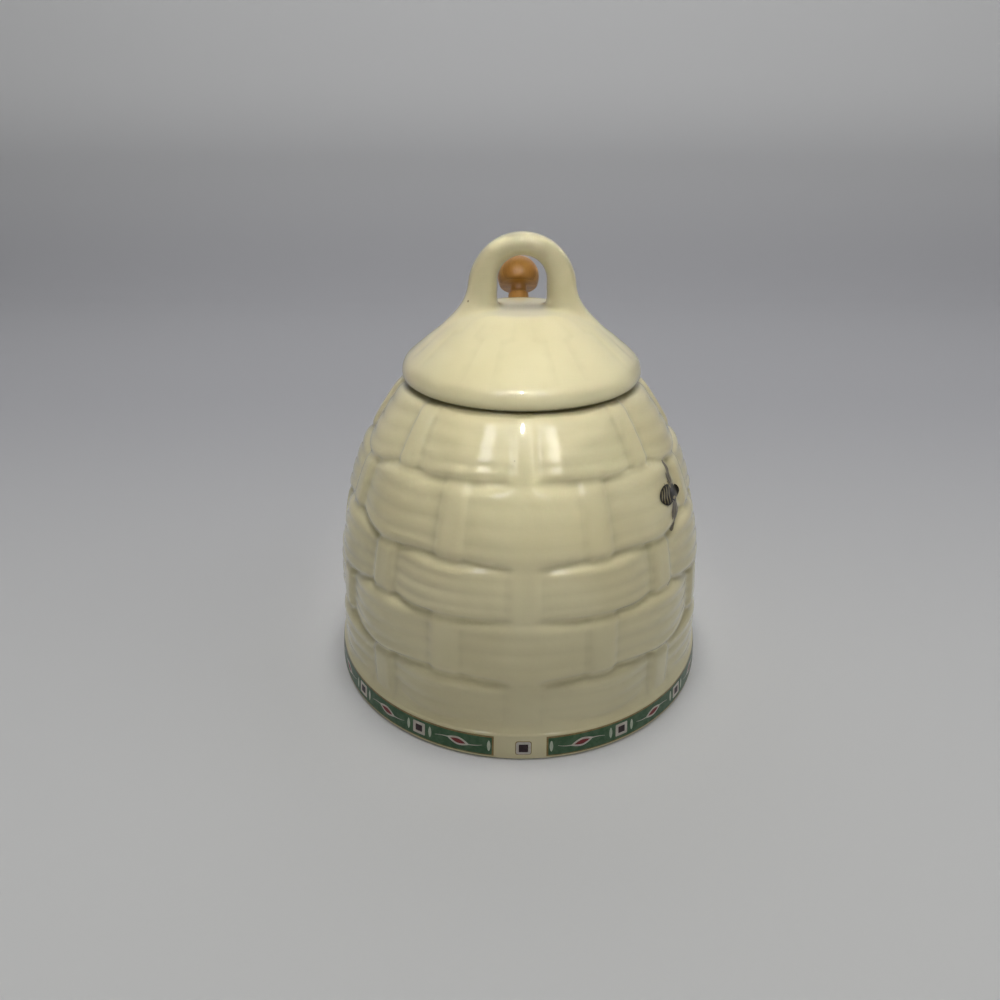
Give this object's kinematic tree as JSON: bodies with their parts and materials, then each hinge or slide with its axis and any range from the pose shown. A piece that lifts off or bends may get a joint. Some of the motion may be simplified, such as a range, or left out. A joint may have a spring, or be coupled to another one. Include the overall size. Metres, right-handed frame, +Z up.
{
  "type": "honey pot",
  "caption": "Beehive-shaped glazed pot with basket-weave relief, a lift-off lid with a loop handle, and a turned wooden dipper that leaves through a notch in the lid.",
  "frame": {"origin": "centre of the pot's foot ring, on the surface that the pot stands on", "axes": "+Z up along the pot's axis, -Y towards the front, with the lid's notch and the dipper's knob towards +Y"},
  "size_m": [0.1138, 0.1138, 0.127],
  "materials": {
    "pot_glaze": "clear gloss glaze over an ivory body, with a printed border on the foot band",
    "lid_glaze": "clear gloss glaze over an ivory body",
    "turned_wood": "turned hardwood, lightly oiled"
  },
  "bodies": {
    "pot": {"pot": "pot_glaze"},
    "lid": {"lid": "lid_glaze"},
    "dipper": {"dipper": "turned_wood"}
  },
  "joints": [
    {"name": "lid_lift", "type": "slide", "parent": "pot", "child": "lid", "axis": [0, 0, 1], "range_m": [0, 0.06]},
    {"name": "dipper_draw", "type": "slide", "parent": "pot", "child": "dipper", "axis": [0, 0.6198, 0.7848], "range_m": [0, 0.045]}
  ]
}
